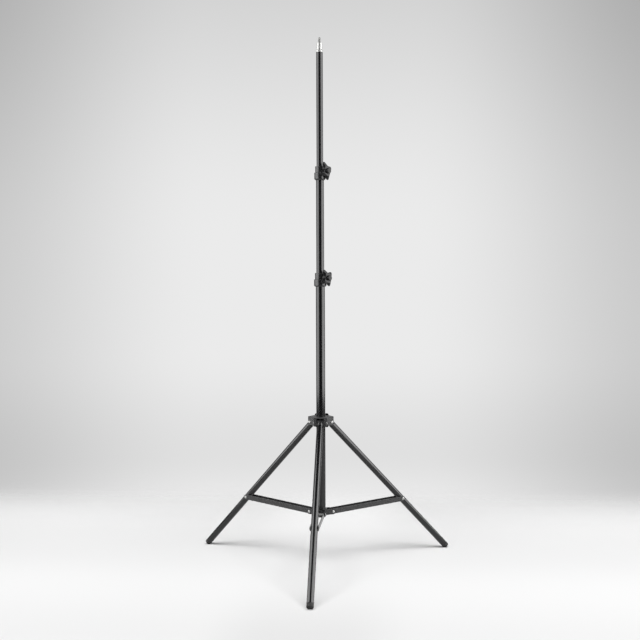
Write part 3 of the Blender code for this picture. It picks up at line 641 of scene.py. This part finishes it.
first_low, first_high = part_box("leg_tube_1")
slope = leg_axes(1).to_3x3().col[2]
tube_length = (first_high.z - first_low.z - 2 * leg_radius * slope.xy.length) / slope.z
tube_middle = (leg_pivot - (first_low + first_high) / 2).length
shoulder = tube_middle - tube_length / 2
cap_end = tube_middle + tube_length / 2 + SEAT_GAP + CAP_LENGTH
plug = leg_radius - LEG_WALL - SEAT_GAP
eye_half = slot_half - RUN_GAP
cap_radius = leg_radius - CAP_WITHIN

for number in (1, 2, 3):
    axes = leg_axes(number)
    tube = pipe(f"leg_{number}_tube", leg_radius, leg_radius - LEG_WALL, tube_length)
    show(tube, f"leg_tube_{number}", tube_paint,
         axes @ Matrix.Translation((0, 0, -shoulder - tube_length)))
    top_end = SEAT_GAP - shoulder
    corners = [(0, top_end - KNUCKLE_DEPTH, 0), (plug, top_end - KNUCKLE_DEPTH, 0), (plug, top_end, 0)]
    corners += [(KNUCKLE, top_end, LIP_ROUNDING), (KNUCKLE, 0, 0), (0, 0, 0)]
    knuckle = turned(f"leg_{number}_knuckle", softened(corners), EYE_FACETS)
    eye = rod("eye", KNUCKLE, -eye_half, eye_half, EYE_FACETS)
    pin_hole = rod("pin_hole", RIVET_RADIUS + RUN_GAP, -2 * eye_half, 2 * eye_half, PIN_HOLE_FACETS)
    for tool in (eye, pin_hole):
        tool.matrix_world = Matrix.Rotation(math.pi / 2, 4, "X")
    moulded(knuckle, [eye], [pin_hole], KNUCKLE_ROUNDING)
    show(knuckle, f"leg_knuckle_{number}", moulded_plastic, axes)
    corners = [(0, 0, 0), (cap_radius, 0, CAP_ROUNDING), (cap_radius, CAP_LENGTH, LIP_ROUNDING)]
    corners += [(plug, CAP_LENGTH, 0), (plug, CAP_LENGTH + CAP_DEPTH, 0), (0, CAP_LENGTH + CAP_DEPTH, 0)]
    cap = turned(f"leg_{number}_foot", softened(corners), TUBE_FACETS)
    cap_place = axes @ Matrix.Translation((0, 0, -cap_end))
    ground = block("ground", (-1, -1, -0.1), (1, 1, 0))
    ground.matrix_world = cap_place.inverted()
    moulded(cap, [], [ground], FLAT_ROUNDING)
    cap.data.transform(cap_place.to_3x3().to_4x4())
    show(cap, f"foot_cap_{number}", foot_rubber, Matrix.Translation(cap_place.translation))

# Spider and base plug
# A moulded ring fixed on the foot of the base tube, with two cheeks for each brace. A round plug
# closes the tube's end below it.
SPIDER_WALL = 0.0027
CHEEK_THICKNESS = 0.002
CHEEK_RADIUS = 0.0065
STRAP_GAP = 0.00035
STRAP_THICKNESS = 0.0015
SPIDER_ROUNDING = 0.0004
ARC_STEPS = 20
PLUG_FLANGE = 0.0022
PLUG_DISH = 0.004
PLUG_DISH_RIM = 0.0048
PLUG_DISH_DEPTH = 0.0006
PLUG_CREASE = 0.0004
PLUG_FLANGE_ROUNDING = 0.0009
PLUG_EDGE_ROUNDING = 0.0003
PLUG_END_ROUNDING = 0.0006

spider_low, spider_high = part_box("spider")
spider_pivot = hinges["brace_1_hinge"]
spider_reach = (spider_pivot - mast).to_2d().length
spider_half = (spider_high.z - spider_low.z) / 2
spider_bore = base_radius + SEAT_GAP
strap_inner = leg_radius + STRAP_GAP
cheek_inner = strap_inner + STRAP_THICKNESS + STRAP_GAP
cheek_outer = cheek_inner + CHEEK_THICKNESS


def arc(centre, radius, start, end):
    """Points on an arc from the start angle to the end angle, in degrees, with both ends."""
    points = []
    for step in range(ARC_STEPS + 1):
        angle = math.radians(start + (end - start) * step / ARC_STEPS)
        points.append((centre[0] + radius * math.cos(angle), centre[1] + radius * math.sin(angle)))
    return points


def plate(name, outline, holes, start, end):
    """A flat plate: an XZ outline with round holes (x, z, radius), from start to end along Y."""
    builder = bmesh.new()
    loops = [outline]
    for x, z, radius in holes:
        loops.append(arc((x, z), radius, 0, 360)[:-1])
    edges = []
    for loop in loops:
        corners = [builder.verts.new((x, start, z)) for x, z in loop]
        for corner, following in zip(corners, corners[1:] + corners[:1]):
            edges.append(builder.edges.new((corner, following)))
    filled = bmesh.ops.triangle_fill(builder, edges=edges, use_beauty=True)
    faces = [part for part in filled["geom"] if isinstance(part, bmesh.types.BMFace)]
    extruded = bmesh.ops.extrude_face_region(builder, geom=faces, use_keep_orig=True)
    moved = [part for part in extruded["geom"] if isinstance(part, bmesh.types.BMVert)]
    bmesh.ops.translate(builder, vec=(0, end - start, 0), verts=moved)
    return solid(name, builder)


spider = rod("spider_ring", spider_bore + SPIDER_WALL, -spider_half, spider_half, COLLAR_FACETS)
outline = arc((spider_reach, 0), CHEEK_RADIUS, -90, 90)
outline += [(cheek_outer / 2, CHEEK_RADIUS), (cheek_outer / 2, -CHEEK_RADIUS)]
pin_hole = (spider_reach, 0, RIVET_RADIUS + SEAT_GAP)
cheeks = []
for azimuth in LEG_AZIMUTHS:
    for side in (-1, 1):
        cheek = plate("cheek", outline, [pin_hole], side * cheek_inner, side * cheek_outer)
        cheek.matrix_world = Matrix.Rotation(math.radians(azimuth), 4, "Z")
        cheeks.append(cheek)
tube_hole = rod("tube_hole", spider_bore, -2 * spider_half, 2 * spider_half, COLLAR_FACETS)
moulded(spider, cheeks, [tube_hole], SPIDER_ROUNDING)
show(spider, "spider", moulded_plastic, Matrix.Translation((mast.x, mast.y, spider_pivot.z)))

plug_low, plug_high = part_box("base_plug")
bung = base_radius - TUBE_WALL - SEAT_GAP
depth = plug_high.z - plug_low.z
corners = [(0, PLUG_DISH_DEPTH, 0), (PLUG_DISH, PLUG_DISH_DEPTH, PLUG_CREASE)]
corners += [(PLUG_DISH_RIM, 0, PLUG_CREASE), (base_radius, 0, PLUG_FLANGE_ROUNDING)]
corners += [(base_radius, PLUG_FLANGE, PLUG_EDGE_ROUNDING), (bung, PLUG_FLANGE, 0)]
corners += [(bung, depth, PLUG_END_ROUNDING), (0, depth, 0)]
base_plug = turned("base_tube_plug", softened(corners), TUBE_FACETS)
show(base_plug, "base_plug", moulded_plastic, Matrix.Translation(mast + Vector((0, 0, plug_low.z))))

# Braces
# Two flat steel straps for each leg, punched, tumbled and painted black. They turn on the
# spider's rivet and are riveted to the leg, one on each side of it.
STRAP_WIDTH = 0.012
STRAP_ROUNDING = 0.0003

STRAP_BLACK = (0.007, 0.007, 0.0075)
STRAP_WORN = (0.016, 0.016, 0.0165)
STRAP_EDGE = (0.055, 0.055, 0.055)
strap_paint, shader, start = new_finish("black_strap_paint", Specular_IOR_Level=0.7)
place = start.node("ShaderNodeTexCoord", {}, {}, "Object")
mottle = cloud(place, 90.0, 3.0)
peel = cloud(place, 800.0, 2.0)
rolled = cloud(place * (0.03, 1.0, 1.0), 900.0, 2.0)
wear = edge_wear(place, 380.0, 0.45)
coat_colour = between(mottle * 0.7 + rolled * 0.3, STRAP_BLACK, STRAP_WORN)
feed(shader, Base_Color=between(wear, coat_colour, STRAP_EDGE))
feed(shader, Roughness=mottle * 0.08 + rolled * 0.06 + 0.20)
feed(shader, Normal=bumps(peel * 0.5 + rolled * 0.5, 0.00003))

for number, azimuth in enumerate(LEG_AZIMUTHS, 1):
    pivot = hinges[f"brace_{number}_hinge"]
    left_low, left_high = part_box(f"brace_strap_{number}_left")
    right_low, right_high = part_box(f"brace_strap_{number}_right")
    middle = (left_low + left_high + right_low + right_high) / 4
    along = (middle - pivot).normalized()
    brace_length = 2 * (middle - pivot).length
    angle = math.radians(azimuth)
    across = Vector((-math.sin(angle), math.cos(angle), 0))
    turn = Matrix((along, across, along.cross(across))).transposed()
    axes = Matrix.Translation(pivot) @ turn.to_4x4()
    outline = arc((brace_length, 0), STRAP_WIDTH / 2, -90, 90) + arc((0, 0), STRAP_WIDTH / 2, 90, 270)
    holes = [(0, 0, RIVET_RADIUS + RUN_GAP), (brace_length, 0, RIVET_RADIUS + SEAT_GAP)]
    for side, label in ((-1, "right"), (1, "left")):
        strap_outer = strap_inner + STRAP_THICKNESS
        strap = plate(f"brace_{number}_{label}", outline, holes, side * strap_inner, side * strap_outer)
        moulded(strap, [], [], STRAP_ROUNDING)
        show(strap, f"brace_strap_{number}_{label}", strap_paint, axes)
        head_face = strap_outer + SEAT_GAP
        shank = [Vector((0, strap_inner)), Vector((RIVET_RADIUS, strap_inner))]
        shank.append(Vector((RIVET_RADIUS, head_face)))
        rivet = turned(f"brace_{number}_{label}_rivet", shank + rivet_dome(head_face), RIVET_FACETS)
        lean = Matrix.Rotation(math.radians(-90 * side), 4, "X")
        show(rivet, f"brace_rivet_{number}_{label}", bright_steel,
             axes @ Matrix.Translation((brace_length, 0, 0)) @ lean)

# Spigot
# A bright turned steel spigot, pressed in the top tube: a flange, an undercut, a plain body and a
# quarter-inch stud with twenty threads to the inch, which the light screws on to.
FLANGE_RADIUS = 0.0083
FLANGE_HEIGHT = 0.0045
NECK_RADIUS = 0.0060
NECK_HEIGHT = 0.0015
SPIGOT_RADIUS = 0.0068
SPIGOT_HEIGHT = 0.018
SPIGOT_DEPTH = 0.020
SPIGOT_ROUNDING = 0.0006
SPIGOT_CREASE = 0.0003
NECK_SLOPE = 0.0006
STUD_RADIUS = 0.0031
STUD_HEIGHT = 0.0126
THREAD_PITCH = 0.00127
THREAD_DEPTH = 0.00055
THREAD_STEPS = 8
THREAD_RUN_OUT = 0.0012
SPIGOT_FACETS = 64

tube_top = top_tube_high.z
pressed = (top_tube_high.x - top_tube_low.x) / 2 - TUBE_WALL - SEAT_GAP
flange_top = SEAT_GAP + FLANGE_HEIGHT
body_top = flange_top + SPIGOT_HEIGHT
stud_top = body_top + STUD_HEIGHT
neck_top = flange_top + NECK_HEIGHT
corners = [(0, -SPIGOT_DEPTH, 0), (pressed, -SPIGOT_DEPTH, SPIGOT_ROUNDING), (pressed, SEAT_GAP, 0)]
corners += [(FLANGE_RADIUS, SEAT_GAP, SPIGOT_CREASE), (FLANGE_RADIUS, flange_top, SPIGOT_ROUNDING)]
corners += [(NECK_RADIUS, flange_top, SPIGOT_CREASE), (NECK_RADIUS, neck_top, SPIGOT_CREASE)]
corners.append((SPIGOT_RADIUS, neck_top + NECK_SLOPE, SPIGOT_CREASE))
corners += [(SPIGOT_RADIUS, body_top, SPIGOT_ROUNDING), (STUD_RADIUS, body_top, 0)]
outline = softened(corners)[:-1]
thread_start = len(outline)
thread_rings = round(STUD_HEIGHT / THREAD_PITCH * THREAD_STEPS)
for step in range(thread_rings + 1):
    outline.append(Vector((STUD_RADIUS, body_top + STUD_HEIGHT * step / thread_rings)))
outline.append(Vector((0, stud_top)))


def threaded(number, angle):
    """The stud's surface: a ridge that climbs one pitch in each turn and runs out at both ends."""
    radius, height = outline[number]
    if number < thread_start:
        return radius, height
    turns = (height - body_top) / THREAD_PITCH - angle / math.tau
    ridge = abs(turns % 1.0 - 0.5) * 2
    run_out = min(1.0, (height - body_top) / THREAD_RUN_OUT)
    chamfer = max(0.0, 1.0 - (stud_top - height) / THREAD_RUN_OUT)
    return radius - THREAD_DEPTH * max(ridge * run_out, chamfer), height


spigot = turned("threaded_spigot", outline, SPIGOT_FACETS, threaded)
show(spigot, "spigot", bright_steel, Matrix.Translation(mast + Vector((0, 0, tube_top))))

# Pieces inside the clamps and tubes
# Brass pads that the clamp screws press on the tubes, and moulded rings in the lower ends of the
# middle and top tubes, which keep them central in the tubes they slide in.
BRASS_DARK = (0.42, 0.28, 0.10)
BRASS_PALE = (0.66, 0.48, 0.22)
pad_brass, shader, start = new_finish("pad_brass", Metallic=1.0)
place = start.node("ShaderNodeTexCoord", {}, {}, "Object")
tarnish = cloud(place, 500.0, 4.0)
feed(shader, Base_Color=between(tarnish, BRASS_DARK, BRASS_PALE))
feed(shader, Roughness=tarnish * 0.25 + 0.28)
for node in ("lower_clamp_pad", "upper_clamp_pad", "leg_collar_pad"):
    finish_node(node, pad_brass)
for node in ("middle_guide", "top_guide"):
    finish_node(node, moulded_plastic)

# Floor and backdrop
# A white studio floor that fades into a seamless grey backdrop. The backdrop is lightest behind
# the stand and falls off towards the sides and the top. The floor's shadow is faint round the mast,
# where a painted glow in the floor's paint lifts it. The floor also carries painted light and shade:
# it glows more towards its sides and rear, and its paint is darker towards the front.
FLOOR_HALF = 3.0
FLOOR_THICKNESS = 0.02
FLOOR_LEVEL = 0.86
# Painted shade: the floor's paint is darker towards the front by this much.
FRONT_PAINTED_SHADE = 0.12
FRONT_PAINTED_SHADE_REACH = (0.1, 0.6)
# Painted light round the mast: the floor's paint gives up this share to a glow there, which makes its shadow
# faint.
MIDDLE_PAINTED_GLOW = 0.34
MIDDLE_LEVEL = 0.9
MIDDLE_FRONT_FALL = 0.1
MIDDLE_REACH = (0.07, 0.24)
MIDDLE_FRONT_REACH = (0.0, 0.6)
# Painted light: the floor glows more towards its sides and its rear.
EDGE_PAINTED_GLOW = 0.07
EDGE_REACH = (0.2, 0.9)
REAR_PAINTED_GLOW = 0.16
REAR_REACH = (0.0, 0.7)
REAR_FADE = (0.35, 1.00)
FRONT_FADE = (1.2, 2.0)
SIDE_FADE = (1.5, 2.2)

floor_low = (-FLOOR_HALF, -FLOOR_HALF, -FLOOR_THICKNESS)
floor = block("studio_floor", floor_low, (FLOOR_HALF, FLOOR_HALF, 0))
floor.location = (mast.x, mast.y, 0)
floor_paint, shader, start = new_finish("studio_floor_paint", Roughness=1.0, Specular_IOR_Level=0.0,
                                        Emission_Strength=1.0)
tree = start.tree
place = start.node("ShaderNodeTexCoord", {}, {}, "Object")


def component(vector, number):
    """One of the three parts of a vector."""
    return vector.node("ShaderNodeSeparateXYZ", {}, {0: vector}, number)


def size_of(value):
    """A value without its sign."""
    return value.node("ShaderNodeMath", {"operation": "ABSOLUTE"}, {0: value})


across = size_of(component(place, 0))
rearward = component(place, 1)
forward = 0.0 - rearward
solid_part = (1.0 - rise(rearward, *REAR_FADE)) * (1.0 - rise(forward, *FRONT_FADE))
solid_part = solid_part * (1.0 - rise(across, *SIDE_FADE))
# Round the mast the floor's paint is darker and the floor glows in its place, a painted light that makes its
# shadow faint there.
middle = (1.0 - rise(across, *MIDDLE_REACH)) * MIDDLE_PAINTED_GLOW
# Towards the front the floor's paint is darker, a painted shade for the light falling off there.
paint_level = FLOOR_LEVEL - rise(forward, *FRONT_PAINTED_SHADE_REACH) * FRONT_PAINTED_SHADE - middle * FLOOR_LEVEL
feed(shader, Base_Color=paint_level)
# The floor glows more towards its sides and its rear, a painted light that carries it into the backdrop.
far_painted_light = rise(across, *EDGE_REACH) * EDGE_PAINTED_GLOW + rise(rearward, *REAR_REACH) * REAR_PAINTED_GLOW
middle_painted_light = middle * (1.0 - rise(forward, *MIDDLE_FRONT_REACH) * MIDDLE_FRONT_FALL) * MIDDLE_LEVEL
feed(shader, Emission_Color=far_painted_light + middle_painted_light)
clear = start.node("ShaderNodeBsdfTransparent", {}, {})
painted = Shade(tree, shader.outputs["BSDF"])
faded = start.node("ShaderNodeMixShader", {}, {0: solid_part, 1: clear, 2: painted})
tree.links.new(faded.socket, tree.nodes["Material Output"].inputs["Surface"])
floor.data.materials.append(floor_paint)

BACKDROP_LEVEL = 0.83
BACKDROP_SHIFT = 0.075
SIDE_FALL = 0.30
SIDE_REACH = (0.09, 0.34)
TOP_FALL = 0.33
TOP_REACH = (0.03, 0.40)
FOOT_FALL = 0.10
FOOT_REACH = (0.07, 0.165)
NEAR_REACH = (0.165, 0.215)
CORNER_FALL = 0.14
CORNER_REACH = (-0.05, 0.27)
WALL_LEVEL = 0.55
WALL_REACH = (0.20, 0.80)
ROOM_LEVEL = 0.02
FILL_LEVEL = 0.04
world = bpy.data.worlds.new("studio")
bpy.context.scene.world = world
world.use_nodes = True
tree = world.node_tree
tree.nodes.clear()
start = Shade(tree)
aim = start.node("ShaderNodeTexCoord", {}, {}, "Generated")
aside = size_of(component(aim, 0) + BACKDROP_SHIFT)
up = component(aim, 2)
down = 0.0 - up
side_fall = 1.0 - rise(aside, *SIDE_REACH) * SIDE_FALL
top_fall = 1.0 - rise(up, *TOP_REACH) * TOP_FALL
foot_fall = 1.0 - rise(down, *FOOT_REACH) * FOOT_FALL + rise(down, *NEAR_REACH) * FOOT_FALL
corner_fall = 1.0 - rise(aside, *SIDE_REACH) * rise(up, *CORNER_REACH) * CORNER_FALL
level = side_fall * top_fall * foot_fall * corner_fall * BACKDROP_LEVEL
walls = rise(component(aim, 1), *WALL_REACH) * WALL_LEVEL + ROOM_LEVEL
white = (1.0, 1.0, 1.0, 1.0)
backdrop = start.node("ShaderNodeBackground", {}, {"Color": level, "Strength": 1.0})
mirrored = start.node("ShaderNodeBackground", {}, {"Color": walls, "Strength": 1.0})
fill = start.node("ShaderNodeBackground", {}, {"Color": white, "Strength": FILL_LEVEL})
seen = start.node("ShaderNodeLightPath", {}, {}, "Is Camera Ray")
glossy = start.node("ShaderNodeLightPath", {}, {}, "Is Glossy Ray")
others = start.node("ShaderNodeMixShader", {}, {0: glossy, 1: fill, 2: mirrored})
shown = start.node("ShaderNodeMixShader", {}, {0: seen, 1: others, 2: backdrop})
output = tree.nodes.new("ShaderNodeOutputWorld")
tree.links.new(shown.socket, output.inputs["Surface"])

# Lights
# A broad soft box over the stand and a little in front of it, and a tall strip box at each side,
# which draws the two pale bands down every tube.


def soft_box(name, azimuth, distance, low, high, width, glow, aim_height):
    """A rectangular light round the mast that faces a height of the mast.

    The azimuth runs to the right from the front, low and high are the heights of its edges when
    it hangs upright, and glow is the radiance of its face.
    """
    light = bpy.data.lights.new(name, "AREA")
    light.shape = "RECTANGLE"
    light.size = width
    light.size_y = high - low
    light.energy = glow * math.pi * width * (high - low)
    box = bpy.data.objects.new(name, light)
    angle = math.radians(azimuth)
    box.location = mast + Vector((math.sin(angle), -math.cos(angle), 0)) * distance
    box.location.z = (low + high) / 2
    toward = mast + Vector((0, 0, aim_height)) - box.location
    box.rotation_euler = toward.to_track_quat("-Z", "Y").to_euler()
    box.visible_camera = False
    bpy.context.scene.collection.objects.link(box)
    return box


overhead_box = soft_box("overhead_box", azimuth=4, distance=1.27, low=1.95, high=3.45, width=3.6,
                        glow=7.4, aim_height=0.0)
overhead_box.visible_glossy = False
left_box = soft_box("left_box", azimuth=-69, distance=2.0, low=0.16, high=3.46, width=2.8,
                    glow=4.4, aim_height=1.81)
left_box.visible_diffuse = False
right_box = soft_box("right_box", azimuth=79, distance=2.0, low=0.16, high=3.66, width=2.9,
                     glow=4.7, aim_height=1.91)
right_box.visible_diffuse = False
